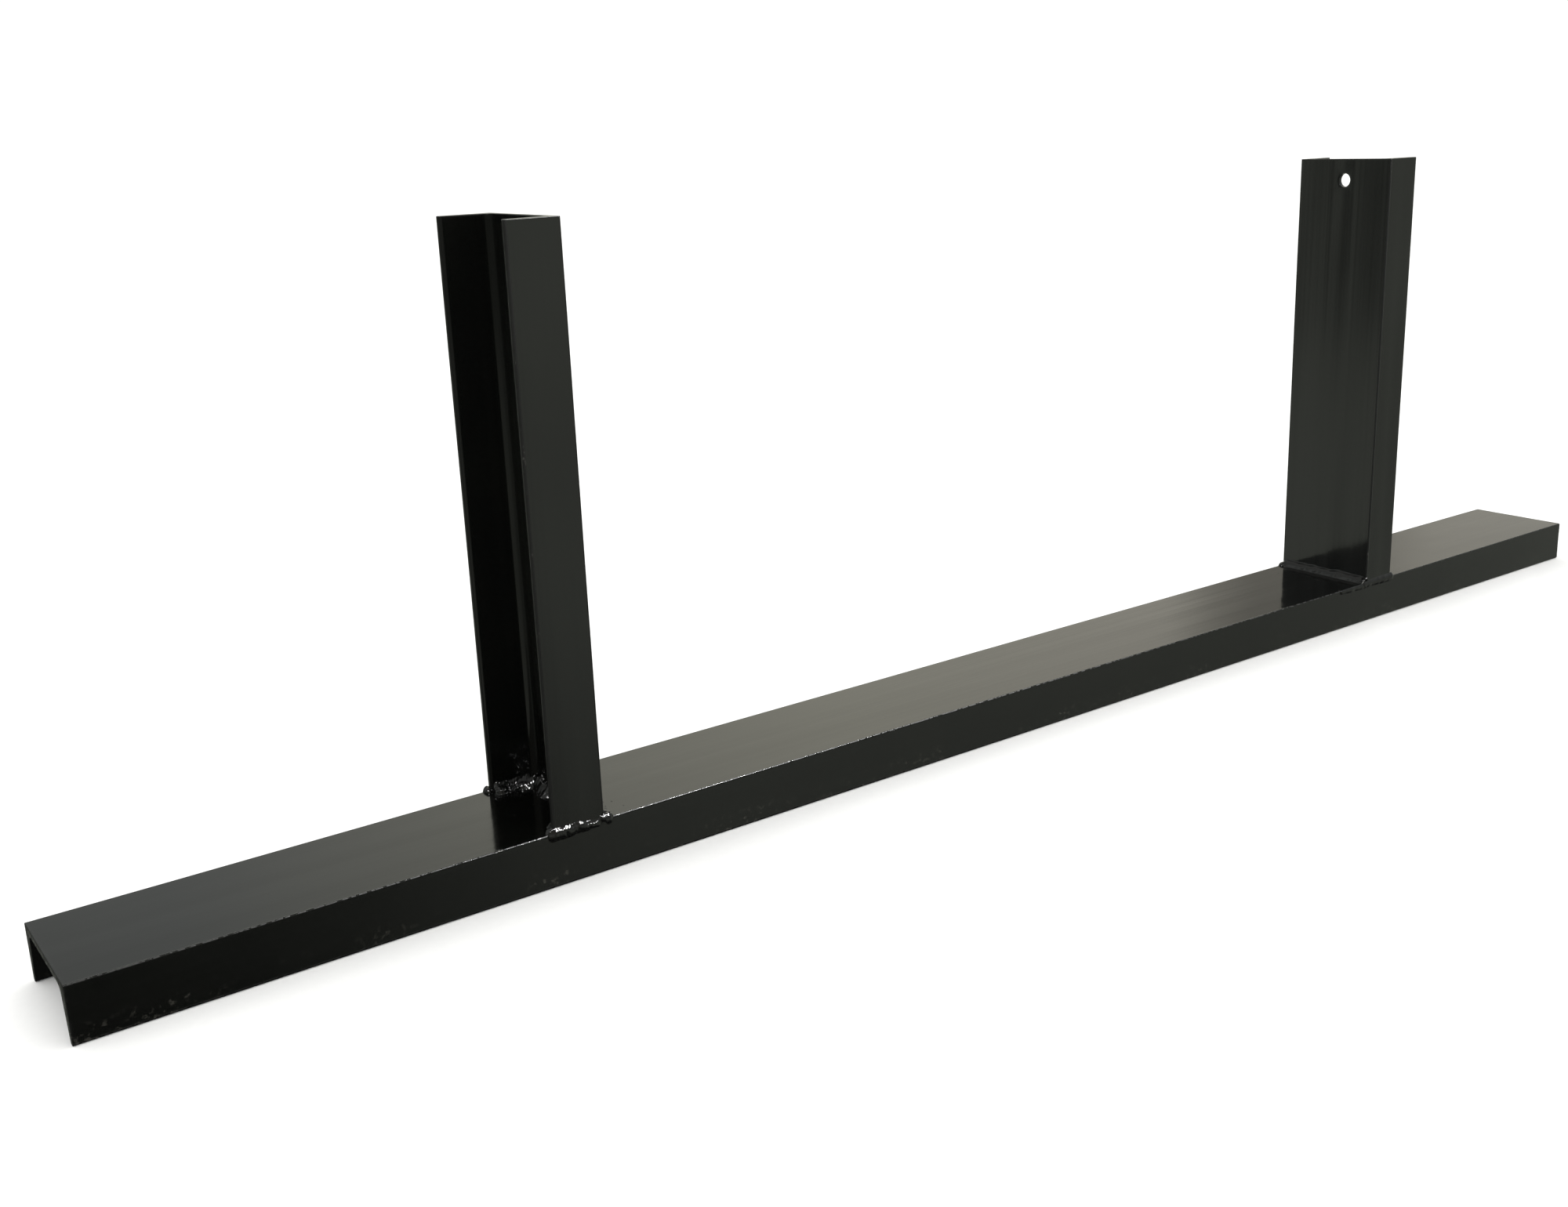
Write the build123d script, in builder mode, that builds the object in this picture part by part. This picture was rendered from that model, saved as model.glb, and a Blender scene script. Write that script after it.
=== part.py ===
"""Welded steel floor frame: a long base channel carrying two short channel uprights.

All three members are cut from one rolled C section. The base lies with its web up and
its flange toes on the floor. Each upright stands on the base's web, with its own web
facing the middle of the frame, its open side facing outwards and its flange faces flush
with the base's. Six weld runs fix each upright, and a bolt hole goes through each
upright's web near its top end.

Millimetres. X runs along the base, -Y is the front and +Z is up. The origin is on the
floor, under the middle of the base.
"""
import os
from math import atan, cos, hypot, sin

from build123d import *

# ---- Overall sizes
base_length = 1600.0            # cut length of the base channel
web_face_spacing = 880.0        # between the facing web surfaces of the two uprights
upright_length = 415.0          # cut length of each upright, all above the base

# ---- Rolled channel section, shared by the base and both uprights
channel_depth = 101.6           # over the outer faces of the two flanges
flange_width = 40.23            # from the back of the web to the flange toes
web_thickness = 4.67
flange_thickness = 7.52         # at the middle of the flange's overhang
flange_slope = 1 / 6            # thinning of the flange towards its toe, on the inner face
root_radius = 7.1               # inside corner of web and flange
heel_radius = 1.0               # outside corner of web and flange
toe_outer_radius = 1.8
toe_inner_radius = 2.8

# ---- Bolt hole through each upright's web
hole_diameter = 12.7
hole_end_distance = 20.0        # from the upright's top end to the hole's centre

# ---- Weld beads over the flush joint of the flanges' outer faces
bead_radius = 4.4
bead_proud = 2.4                # how far the bead stands out of the flange faces
bead_drop = 0.8                 # bead centre below the top of the base
bead_past_toe = 5.0             # overrun beyond the flange toe, where it wraps round
bead_past_web_weld = 1.5        # overrun beyond the fillet on the web's outer face

# ---- Fillet welds on the web and inside the channel
web_weld_leg = 6.5              # on the web's outer face, up and out alike
inner_weld_height = 7.5         # inside the channel, up the upright
inner_weld_reach = 10.0         # inside the channel, out over the base
inner_weld_setback = 1.5        # an inner flange run starts this far in from the toe
weld_bulge = 0.9                # middle of a fillet's face, out of its straight chord
weld_backing = 2.0              # stock behind a fillet's corner, cut away by the steel

# ---- Worked out from the sizes above
half_depth = channel_depth / 2
base_top = flange_width
flange_overhang = flange_width - web_thickness
toe_thickness = flange_thickness - flange_slope * flange_overhang / 2
root_thickness = flange_thickness + flange_slope * flange_overhang / 2
slope_angle = atan(flange_slope)
hole_height = base_top + upright_length - hole_end_distance
up = Vector(0, 0, 1)


# ---- The rolled section: back of the web on the Y axis, flanges towards +X
with BuildSketch() as channel_section:
    with BuildLine() as outline:
        FilletPolyline(
            (0, 0),
            (0, half_depth),
            (flange_width, half_depth),
            (flange_width, half_depth - toe_thickness),
            (web_thickness, half_depth - root_thickness),
            (web_thickness, 0),
            radius=(heel_radius, toe_outer_radius, toe_inner_radius, root_radius),
        )
        mirror(about=Plane.XZ)
    make_face()


def fillet_section(height, reach):
    """Section of a weld fillet: its corner at the origin, reach along X, height along Y."""
    chord = hypot(height, reach)
    crown = (reach / 2 + weld_bulge * height / chord, height / 2 + weld_bulge * reach / chord)
    with BuildSketch() as section:
        with BuildLine():
            ThreePointArc((reach, 0), crown, (0, height))
            Polyline((0, height), (-weld_backing, height), (-weld_backing, 0), (reach, 0))
        make_face()
    return section.sketch


def across_run(foot, corner_x, corner_y, out_x, out_y):
    """Plane across a fillet run, in a foot's own X and Y: X out of the corner, Y up."""
    corner = foot.from_local_coords(Vector(corner_x, corner_y, 0))
    outward = foot.x_dir * out_x + foot.y_dir * out_y
    return Plane(origin=corner, x_dir=outward, z_dir=outward.cross(up))


def save(piece, name):
    """Label a finished piece and write its STEP file."""
    piece.part.label = name
    export_step(piece.part, f"parts/{name}.step")


os.makedirs("parts", exist_ok=True)
inner_fillet = fillet_section(inner_weld_height, inner_weld_reach)
web_fillet = fillet_section(web_weld_leg, web_weld_leg)

# ---- Base channel: web up, flanges down to the floor
base_end = Plane(origin=(-base_length / 2, 0, base_top), x_dir=(0, 0, -1), z_dir=(1, 0, 0))
with BuildPart() as base_channel:
    with BuildSketch(base_end):
        add(channel_section.sketch)
    extrude(amount=base_length)
save(base_channel, "base_channel")

for side_name, side in (("left", -1), ("right", 1)):
    # The foot plane's X points outwards, from the web's outer face to the flange toes.
    foot = Plane(origin=(side * web_face_spacing / 2, 0, base_top), x_dir=(side, 0, 0), z_dir=up)
    hole_face = Plane(
        origin=(side * web_face_spacing / 2, 0, hole_height), x_dir=(0, 1, 0), z_dir=(-side, 0, 0)
    )

    # ---- Upright: web towards the middle of the frame
    with BuildPart() as upright:
        with BuildSketch(foot):
            add(channel_section.sketch)
        extrude(amount=upright_length)
        with Locations(hole_face.location):
            Hole(radius=hole_diameter / 2, depth=web_thickness)
    save(upright, f"{side_name}_upright")

    outer_beads = []
    inner_runs = []
    for face_name, face in (("front", -side), ("rear", side)):
        # ---- Bead over the flush outer faces of the upright's flange and the base's
        bead_start = -web_weld_leg - bead_past_web_weld
        bead_end = flange_width + bead_past_toe
        bead_length = bead_end - bead_start
        bead_middle = foot.from_local_coords(
            Vector(
                (bead_start + bead_end) / 2,
                face * (half_depth + bead_proud - bead_radius),
                -bead_drop,
            )
        )
        bead_plane = Plane(origin=bead_middle, x_dir=foot.x_dir, z_dir=up)
        with BuildPart() as flange_weld:
            with BuildSketch(bead_plane):
                SlotOverall(bead_length, 2 * bead_radius)
                Rectangle(
                    bead_length,
                    bead_radius,
                    align=(Align.CENTER, Align.MAX),
                    mode=Mode.SUBTRACT,
                )
            revolve(axis=Axis(bead_middle, bead_plane.x_dir))
            add(base_channel.part, mode=Mode.SUBTRACT)
            add(upright.part, mode=Mode.SUBTRACT)
        save(flange_weld, f"{side_name}_{face_name}_flange_weld")
        outer_beads.append(flange_weld.part)

        # ---- Fillet along the sloped inner face of the flange, from the toe to the web
        run_start = flange_width - inner_weld_setback
        start_thickness = toe_thickness + flange_slope * inner_weld_setback
        run_length = (run_start - web_thickness) / cos(slope_angle) + weld_backing
        run_plane = across_run(
            foot,
            run_start,
            face * (half_depth - start_thickness),
            sin(slope_angle),
            -face * cos(slope_angle),
        )
        with BuildPart() as inner_flange_weld:
            with BuildSketch(run_plane):
                add(inner_fillet)
            extrude(amount=face * run_length)
            add(base_channel.part, mode=Mode.SUBTRACT)
            add(upright.part, mode=Mode.SUBTRACT)
            add(flange_weld.part, mode=Mode.SUBTRACT)
        save(inner_flange_weld, f"{side_name}_{face_name}_inner_weld")
        inner_runs.append(inner_flange_weld.part)

    # ---- Fillet along the web's inner face, between the two flange runs
    with BuildPart() as inner_web_weld:
        with BuildSketch(across_run(foot, web_thickness, 0, 1, 0)):
            add(inner_fillet)
        extrude(amount=half_depth - root_thickness, both=True)
        add(upright.part, mode=Mode.SUBTRACT)
        for run in inner_runs:
            add(run, mode=Mode.SUBTRACT)
    save(inner_web_weld, f"{side_name}_web_inner_weld")

    # ---- Fillet along the web's outer face, between the two outer beads
    with BuildPart() as web_weld:
        with BuildSketch(across_run(foot, 0, 0, -1, 0)):
            add(web_fillet)
        extrude(amount=half_depth - heel_radius, both=True)
        add(upright.part, mode=Mode.SUBTRACT)
        for bead in outer_beads:
            add(bead, mode=Mode.SUBTRACT)
    save(web_weld, f"{side_name}_web_outer_weld")
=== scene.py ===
"""Looks of the welded channel floor frame: painted steel channels, weld beads and a plain studio."""

from math import atan, cos, hypot, pi, radians, sin

import bmesh
import bpy
import numpy as np
from bpy.props import FloatProperty, FloatVectorProperty, PointerProperty
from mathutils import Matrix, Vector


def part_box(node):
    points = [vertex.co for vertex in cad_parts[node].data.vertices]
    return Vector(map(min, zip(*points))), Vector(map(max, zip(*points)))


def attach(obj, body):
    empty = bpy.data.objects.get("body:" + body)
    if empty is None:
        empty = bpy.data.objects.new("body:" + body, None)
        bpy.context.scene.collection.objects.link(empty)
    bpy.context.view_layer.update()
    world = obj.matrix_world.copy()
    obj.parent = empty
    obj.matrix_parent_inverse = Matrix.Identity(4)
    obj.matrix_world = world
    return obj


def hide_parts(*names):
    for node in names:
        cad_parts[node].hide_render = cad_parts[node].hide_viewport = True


bl_info = {
    "name": "Welded Channel Floor Frame",
    "version": (1, 0, 0),
    "blender": (4, 5, 0),
    "location": "View3D > Sidebar > Floor Frame",
    "description": "Painted steel channels with their weld beads, and the studio they stand in",
    "category": "Add Mesh",
}

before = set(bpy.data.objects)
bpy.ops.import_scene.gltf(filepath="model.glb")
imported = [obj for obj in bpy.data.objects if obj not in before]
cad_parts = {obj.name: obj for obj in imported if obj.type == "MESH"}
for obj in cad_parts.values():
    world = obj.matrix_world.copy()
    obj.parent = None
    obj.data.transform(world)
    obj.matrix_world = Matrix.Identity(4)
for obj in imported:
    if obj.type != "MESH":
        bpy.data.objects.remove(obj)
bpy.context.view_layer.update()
MM = 0.001
BASE_LOW, BASE_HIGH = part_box("base_channel")
LEFT_LOW, LEFT_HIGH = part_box("left_upright")
BEAD_LOW, BEAD_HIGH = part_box("left_front_flange_weld")
BASE_TOP = BASE_HIGH.z
WEB_X = abs(LEFT_HIGH.x)  # each upright's web face, out from the middle of the frame
FLANGE_WIDTH = LEFT_HIGH.x - LEFT_LOW.x
HALF_DEPTH = (LEFT_HIGH.y - LEFT_LOW.y) / 2
UP = np.array([0, 0, 1])
SIDES = (("left", -1), ("right", 1))
FACES = (("front", -1), ("rear", 1))

# Round a bolt hole, a square of web faces gives way to rings: half its side, and its grid cells.
HOLE_SQUARE = 12 * MM
SQUARE_CELLS = 12

ENAMEL_IOR = 1.5
SMOOTH = {"interpolation_type": "SMOOTHSTEP"}
# A Mix node of colours takes its share at socket 0 and the colours at 6 and 7, and gives output 2.
COLOURS = {"data_type": "RGBA"}
MULTIPLY = {"operation": "MULTIPLY"}
MULTIPLY_ADD = {"operation": "MULTIPLY_ADD"}


def linear(code):
    """An sRGB hex colour such as "1A2B3C" as linear red, green and blue."""
    parts = np.array([int(code[i : i + 2], 16) for i in (0, 2, 4)]) / 255
    return tuple(np.where(parts <= 0.04045, parts / 12.92, ((parts + 0.055) / 1.055) ** 2.4).tolist())


def length_property(name, description, default):
    """A length in metres that shows in the scene's unit."""
    return FloatProperty(
        name=name, description=description, default=default,
        subtype="DISTANCE", unit="LENGTH", precision=5,
    )


def colour_property(name, description, code):
    """A colour given as sRGB hex."""
    return FloatVectorProperty(
        name=name, description=description, default=linear(code),
        subtype="COLOR", size=3, min=0, max=1,
    )


def share_property(name, description, default):
    """A share from 0 to 1."""
    return FloatProperty(
        name=name, description=description, default=default, min=0, max=1, subtype="FACTOR",
    )


# ---------------------------------------------------------------- sizes and colours

class FloorFrameSteel(bpy.types.PropertyGroup):
    """The rolled section and the cut ends."""

    web_thickness: length_property("Web", "Thickness of the web", 4.67 * MM)
    flange_thickness: length_property("Flange", "Thickness at mid-overhang", 7.52 * MM)
    flange_slope: FloatProperty(
        name="Flange slope", description="Rise of the flange's inner face over its run",
        default=1 / 6,
    )
    root_radius: length_property("Root radius", "Inside corner of web and flange", 7.1 * MM)
    heel_radius: length_property("Heel radius", "Outside corner of web and flange", 1.0 * MM)
    toe_outer_radius: length_property("Outer toe radius", "Outer corner of the flange's tip", 1.8 * MM)
    toe_inner_radius: length_property("Inner toe radius", "Inner corner of the flange's tip", 2.8 * MM)
    paint_edge: length_property("Paint edge", "How far paint rounds a sawn edge", 0.45 * MM)
    mill_wave: length_property("Mill wave", "How far rolling leaves the faces out of true", 0.05 * MM)
    hole_radius: length_property("Hole radius", "Bolt hole in each upright's web", 6.35 * MM)
    hole_from_end: length_property("Hole from end", "Hole centre down from the upright's top", 20 * MM)


class FloorFrameWelds(bpy.types.PropertyGroup):
    """The weld runs at the foot of each upright."""

    bead_radius: length_property("Bead radius", "Radius of the bead over the flanges' faces", 4.4 * MM)
    bead_proud: length_property("Bead proud", "How far that bead stands out of the faces", 2.4 * MM)
    bead_drop: length_property("Bead drop", "Bead centre below the top of the base", 0.8 * MM)
    web_leg: length_property("Web leg", "Leg of the fillet on the web's outer face", 6.5 * MM)
    inner_height: length_property("Inner height", "Height of a fillet inside the channel", 7.5 * MM)
    inner_reach: length_property("Inner reach", "Reach of a fillet inside the channel", 10 * MM)
    inner_setback: length_property("Inner setback", "Start of an inner run in from the toe", 1.5 * MM)
    bulge: length_property("Bulge", "Middle of a fillet's face out of its chord", 0.9 * MM)
    ripple_spacing: length_property("Ripple spacing", "From one ripple to the next", 2.4 * MM)
    ripple_depth: length_property("Ripple depth", "Height of one ripple", 0.32 * MM)
    left_lumps: length_property("Left lumps", "Unevenness of the hand-laid left runs", 0.75 * MM)
    right_lumps: length_property("Right lumps", "Unevenness of the smoother right runs", 0.09 * MM)


class FloorFrameFinish(bpy.types.PropertyGroup):
    """The paint."""

    enamel: colour_property("Enamel", "Gloss black paint on the channels", "0C0D0C")
    enamel_haze: colour_property("Enamel haze", "The paint where overspray and dust dull it", "0F100E")
    weld_enamel: colour_property("Weld enamel", "The paint, flowed thick over the welds", "090909")
    # This grey is edges rubbing through to primer and steel and floor dust, and its specks also serve as
    # painted highlights on the corners and low on the base's front.
    rub_and_highlight: colour_property("Rub", "Edges rubbed through to primer and steel, and floor dust", "504E48")
    gloss: share_property("Gloss roughness", "Roughness of clean enamel", 0.085)
    dulled: share_property("Dulled roughness", "Roughness of dulled enamel", 0.16)


class FloorFrameStudio(bpy.types.PropertyGroup):
    """Floor, camera and light."""

    floor: colour_property("Floor", "Pale seamless paper", "F4F4F2")
    camera_place: FloatVectorProperty(
        name="Camera place", description="Where the camera stands",
        default=(-0.9425, -0.9917, 0.5047), subtype="TRANSLATION", unit="LENGTH", size=3,
    )
    camera_turn: FloatVectorProperty(
        name="Camera turn", description="Tilt, roll and heading",
        default=(radians(74.544), radians(2.055), radians(-36.198)),
        subtype="EULER", unit="ROTATION", size=3,
    )
    camera_lens: FloatProperty(
        name="Lens", description="Focal length in millimetres on a 36 mm sensor",
        default=37.31, min=1,
    )
    camera_shift: FloatVectorProperty(
        name="Shift", description="Small lens shift, right and up",
        default=(-0.00645, -0.01796), size=2,
    )
    paper_light: FloatProperty(
        name="Paper light", description="Even light that the room gives matt surfaces",
        default=1.45, min=0,
    )
    spark_light: FloatProperty(
        name="Spark light", description="Watts that each overhead lamp gives its own multiple of",
        default=44, min=0,
    )


# ---------------------------------------------------------------- materials

def add_node(tree, kind, settings=None, inputs=None):
    """Add a node to the tree, its kind named without ShaderNode.

    settings are its own values, where stops fills a colour ramp. inputs are its sockets' values or
    links, and a node given as an input is linked by its first output.
    """
    node = tree.nodes.new(f"ShaderNode{kind}")
    for key, value in (settings or {}).items():
        if key == "stops":
            marks = node.color_ramp.elements
            while len(marks) < len(value):
                marks.new(1)
            for mark, (place, colour) in zip(marks, value):
                mark.position = place
                mark.color = (*colour, 1)
        else:
            setattr(node, key, value)
    for key, value in (inputs or {}).items():
        if isinstance(value, bpy.types.Node):
            value = value.outputs[0]
        if isinstance(value, bpy.types.NodeSocket):
            tree.links.new(value, node.inputs[key])
        else:
            node.inputs[key].default_value = value
    return node


def new_material(name):
    """A new material with its tree, its shader and its object coordinates."""
    material = bpy.data.materials.new(name)
    material.use_nodes = True
    tree = material.node_tree
    place = add_node(tree, "TexCoord").outputs["Object"]
    return material, tree, tree.nodes["Principled BSDF"], place


def gloss_enamel(name, lengthways):
    """Black alkyd gloss enamel, sprayed in one coat on hot-rolled channel with its mill scale on.

    The coat is thin, so the rolling lines of the steel under it show as long faint streaks, and the
    sprayed film has orange peel 2 to 3 mm across. Distant lights come back soft and near edges crisp.
    lengthways is the axis the channel was rolled along: 0 is X, for the base, and 2 is Z.
    """
    found = bpy.data.materials.get(name)
    if found:
        return found
    paint = bpy.context.scene.floor_frame_finish
    material, tree, shader, place = new_material(name)

    # Rolling lines are 3 mm wide and about 300 mm long; a second set is 10 mm wide and 900 mm long.
    fine = [1 / (3 * MM)] * 3
    broad = [1 / (10 * MM)] * 3
    fine[lengthways] = 1 / (300 * MM)
    broad[lengthways] = 1 / (900 * MM)
    fine_place = add_node(tree, "Mapping", None, {"Vector": place, "Scale": fine})
    broad_place = add_node(tree, "Mapping", None, {"Vector": place, "Scale": broad})
    lines = add_node(tree, "TexNoise", None, {
        "Vector": fine_place, "Scale": 1, "Detail": 3, "Roughness": 0.6,
    })
    bands = add_node(tree, "TexNoise", None, {"Vector": broad_place, "Scale": 1, "Detail": 2})

    # Orange peel 2.5 mm across, and dust nibs in the film about 9 mm apart and 0.8 mm wide.
    peel = add_node(tree, "TexNoise", None, {"Vector": place, "Scale": 1 / (2.5 * MM), "Detail": 1.5})
    nibs = add_node(tree, "TexVoronoi", None, {"Vector": place, "Scale": 1 / (9 * MM), "Randomness": 1})
    nib_rise = add_node(tree, "MapRange", SMOOTH, {
        "Value": nibs.outputs["Distance"], "From Min": 0.02, "From Max": 0.085,
        "To Min": 1, "To Max": 0,
    })

    # Overspray and handling dust dull patches about 70 mm across, and the rolling lines a little.
    patches = add_node(tree, "TexNoise", None, {
        "Vector": place, "Scale": 1 / (70 * MM), "Detail": 4, "Roughness": 0.6,
    })
    haze = add_node(tree, "MapRange", None, {"Value": patches, "From Min": 0.4, "From Max": 0.75})
    streak = add_node(tree, "MapRange", None, {"Value": lines, "From Min": 0.35, "From Max": 0.68})
    dull_lines = add_node(tree, "Math", MULTIPLY, {0: streak, 1: 0.55})
    dulled = add_node(tree, "Math", {**MULTIPLY_ADD, "use_clamp": True}, {
        0: haze, 1: 0.45, 2: dull_lines,
    })
    roughness = add_node(tree, "MapRange", None, {
        "Value": dulled, "To Min": paint.gloss, "To Max": paint.dulled,
    })

    # Corners are dry with overspray, nearly all along on the uprights and in patches 5 mm long on
    # the base, and rubbing takes the paint off in specks 1 to 2 mm long. The grey of these specks is
    # partly real wear and partly painted highlight, standing for light that the rounded corners catch.
    edge = add_node(tree, "Attribute", {"attribute_name": "edge_rub"})
    dry_from, dry_to = (0.43, 0.53) if lengthways == 0 else (0.1, 0.2)
    dry = add_node(tree, "TexNoise", None, {"Vector": place, "Scale": 1 / (5 * MM), "Detail": 2})
    dry_patch = add_node(tree, "MapRange", SMOOTH, {
        "Value": dry, "From Min": dry_from, "From Max": dry_to, "To Max": 0.3,
    })
    dry_edge = add_node(tree, "Math", MULTIPLY_ADD, {0: dry_patch, 1: edge.outputs["Fac"], 2: roughness})
    specks = add_node(tree, "TexNoise", None, {
        "Vector": place, "Scale": 1 / (1.6 * MM), "Detail": 3, "Roughness": 0.65,
    })
    sparse = add_node(tree, "TexNoise", None, {"Vector": place, "Scale": 1 / (45 * MM), "Detail": 1})
    speck_level = add_node(tree, "Math", MULTIPLY, {0: specks, 1: sparse})
    # Painted highlight, partly real wear: light grey specks on the corners.
    bare_and_highlight = add_node(tree, "MapRange", SMOOTH, {"Value": speck_level, "From Min": 0.4, "From Max": 0.46})
    rubbed_and_highlight = add_node(tree, "Math", MULTIPLY, {0: bare_and_highlight, 1: edge.outputs["Fac"]})
    tone = add_node(tree, "Mix", COLOURS, {0: haze, 6: (*paint.enamel, 1), 7: (*paint.enamel_haze, 1)})
    colour = add_node(tree, "Mix", COLOURS, {0: rubbed_and_highlight, 6: tone.outputs[2], 7: (*paint.rub_and_highlight, 1)})
    if lengthways == 0:
        # Light grey specks 3 to 4 mm long, in scattered groups within 17 mm of the floor: partly floor
        # dust and scuff marks, partly painted highlights where the rounded toe catches light.
        height = add_node(tree, "SeparateXYZ", None, {0: place})
        low_down = add_node(tree, "MapRange", SMOOTH, {
            "Value": height.outputs[2], "From Min": 7 * MM, "From Max": 17 * MM,
            "To Min": 0.28, "To Max": 0,
        })
        groups = add_node(tree, "MapRange", None, {"Value": patches, "From Min": 0.45, "From Max": 0.6})
        marks = add_node(tree, "TexNoise", None, {
            "Vector": place, "Scale": 1 / (4 * MM), "Detail": 4, "Roughness": 0.6,
        })
        scuffs_and_highlight = add_node(tree, "MapRange", SMOOTH, {"Value": marks, "From Min": 0.55, "From Max": 0.68})
        grouped = add_node(tree, "Math", MULTIPLY, {0: scuffs_and_highlight, 1: groups})
        dust_and_highlight = add_node(tree, "Math", MULTIPLY, {0: grouped, 1: low_down})
        # Painted highlight, partly dust: the light grey specks low on the base's front.
        colour = add_node(tree, "Mix", COLOURS, {0: dust_and_highlight, 6: colour.outputs[2], 7: (*paint.rub_and_highlight, 1)})

    # Heights over each pattern's whole range: bands 80 microns, lines 9, peel 11, nibs 30 at half
    # strength, and drops of paint on the corners 140.
    edge_drops = add_node(tree, "Math", MULTIPLY, {0: specks, 1: edge.outputs["Fac"]})
    normal = {}
    for relief, strength, rise in (
        (bands, 1, 0.08 * MM),
        (lines, 1, 0.009 * MM),
        (peel, 1, 0.011 * MM),
        (nib_rise, 0.5, 0.03 * MM),
        (edge_drops, 1, 0.14 * MM),
    ):
        bump = add_node(tree, "Bump", None, {
            "Height": relief, "Strength": strength, "Distance": rise, **normal,
        })
        normal = {"Normal": bump}
    tree.links.new(colour.outputs[2], shader.inputs["Base Color"])
    tree.links.new(dry_edge.outputs[0], shader.inputs["Roughness"])
    tree.links.new(bump.outputs[0], shader.inputs["Normal"])
    shader.inputs["IOR"].default_value = ENAMEL_IOR
    return material


def weld_enamel():
    """The same enamel over unground weld metal.

    The coat pools between the ripples and stays wet-looking, so every lump throws a small hard light,
    and soot and flux left under it break that light up.
    """
    name = "Gloss_enamel_on_weld_metal"
    found = bpy.data.materials.get(name)
    if found:
        return found
    paint = bpy.context.scene.floor_frame_finish
    material, tree, shader, place = new_material(name)
    # Flux grains 0.9 mm across under the paint, and pooled paint in patches of 4 mm.
    grains = add_node(tree, "TexNoise", None, {
        "Vector": place, "Scale": 1 / (0.9 * MM), "Detail": 3, "Roughness": 0.6,
    })
    pools = add_node(tree, "TexNoise", None, {"Vector": place, "Scale": 1 / (4 * MM), "Detail": 2})
    roughness = add_node(tree, "MapRange", None, {
        "Value": pools, "From Min": 0.35, "From Max": 0.7,
        "To Min": paint.gloss * 0.6, "To Max": paint.dulled,
    })
    soot = add_node(tree, "MapRange", None, {"Value": grains, "From Min": 0.45, "From Max": 0.7})
    colour = add_node(tree, "Mix", COLOURS, {
        0: soot, 6: (*paint.weld_enamel, 1), 7: (*paint.enamel_haze, 1),
    })
    pooled = add_node(tree, "Bump", None, {"Height": pools, "Strength": 1, "Distance": 0.07 * MM})
    grainy = add_node(tree, "Bump", None, {
        "Height": grains, "Strength": 1, "Distance": 0.015 * MM, "Normal": pooled,
    })
    tree.links.new(colour.outputs[2], shader.inputs["Base Color"])
    tree.links.new(roughness.outputs[0], shader.inputs["Roughness"])
    tree.links.new(grainy.outputs[0], shader.inputs["Normal"])
    shader.inputs["IOR"].default_value = ENAMEL_IOR
    return material


# ---------------------------------------------------------------- surfaces

def unevenness(points, size, seed):
    """Smooth unevenness of about -1 to 1 at points (..., 3).

    The sum of twelve sine waves divided by 2.5. Each runs in its own seeded direction with its own
    start, and its length is between 0.7 and 1.5 times size.
    """
    waves = 12
    chance = np.random.default_rng(seed)
    ways = chance.normal(size=(waves, 3))
    ways /= np.linalg.norm(ways, axis=1, keepdims=True)
    ways *= (2 * pi / (size * chance.uniform(0.7, 1.5, waves)))[:, None]
    starts = chance.uniform(0, 2 * pi, waves)
    return np.sin(points @ ways.T + starts).sum(-1) / 2.5


def put_piece(name, sheets, material, nodes):
    """Join grids of points into one closed piece and place it on the frame.

    Each sheet is (points (rows, columns, 3), wraps round its columns or not, edge values (rows,
    columns) or None, faces to keep (rows, columns) or None). Neighbouring grid points make quads;
    points that coincide are merged, which closes seams and poles, and faces are turned outwards.
    """
    corners, faces, rub_and_highlight_lists = [], [], []
    start = 0
    for points, wraps, rub_and_highlight, keep in sheets:
        rows, columns = points.shape[:2]
        index = start + np.arange(rows * columns).reshape(rows, columns)
        beside = np.roll(index, -1, axis=1)
        quads = np.stack([index[:-1], beside[:-1], beside[1:], index[1:]], axis=-1)
        if not wraps:
            quads = quads[:, :-1]
        if keep is not None:
            quads = quads[keep[: quads.shape[0], : quads.shape[1]]]
        corners.append(points.reshape(-1, 3))
        faces.append(quads.reshape(-1, 4))
        rub_and_highlight = 0.0 if rub_and_highlight is None else rub_and_highlight
        rub_and_highlight_lists.append(np.broadcast_to(rub_and_highlight, (rows, columns)).reshape(-1))
        start += rows * columns
    mesh = bpy.data.meshes.new(name)
    mesh.from_pydata(np.concatenate(corners).tolist(), [], np.concatenate(faces).tolist())
    # Edge values: where corners get rubbing, dryness and painted highlight specks.
    edge_rub = mesh.attributes.new("edge_rub", "FLOAT", "POINT")
    edge_rub.data.foreach_set("value", np.concatenate(rub_and_highlight_lists).astype(np.float32))
    shell = bmesh.new()
    shell.from_mesh(mesh)
    bmesh.ops.remove_doubles(shell, verts=shell.verts, dist=0.002 * MM)
    loose = [corner for corner in shell.verts if not corner.link_faces]
    bmesh.ops.delete(shell, geom=loose, context="VERTS")
    bmesh.ops.recalc_face_normals(shell, faces=shell.faces)
    shell.to_mesh(mesh)
    shell.free()
    mesh.shade_smooth()
    mesh.materials.append(material)
    piece = bpy.data.objects.new(name, mesh)
    bpy.context.scene.collection.objects.link(piece)
    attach(piece, "root")
    if nodes:
        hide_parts(*nodes)


def flange_ends(steel, width):
    """Thickness of the flange at its toe and at its root, for a channel of that flange width."""
    overhang = width - steel.web_thickness
    thinning = steel.flange_slope * overhang / 2
    return steel.flange_thickness - thinning, steel.flange_thickness + thinning


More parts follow.
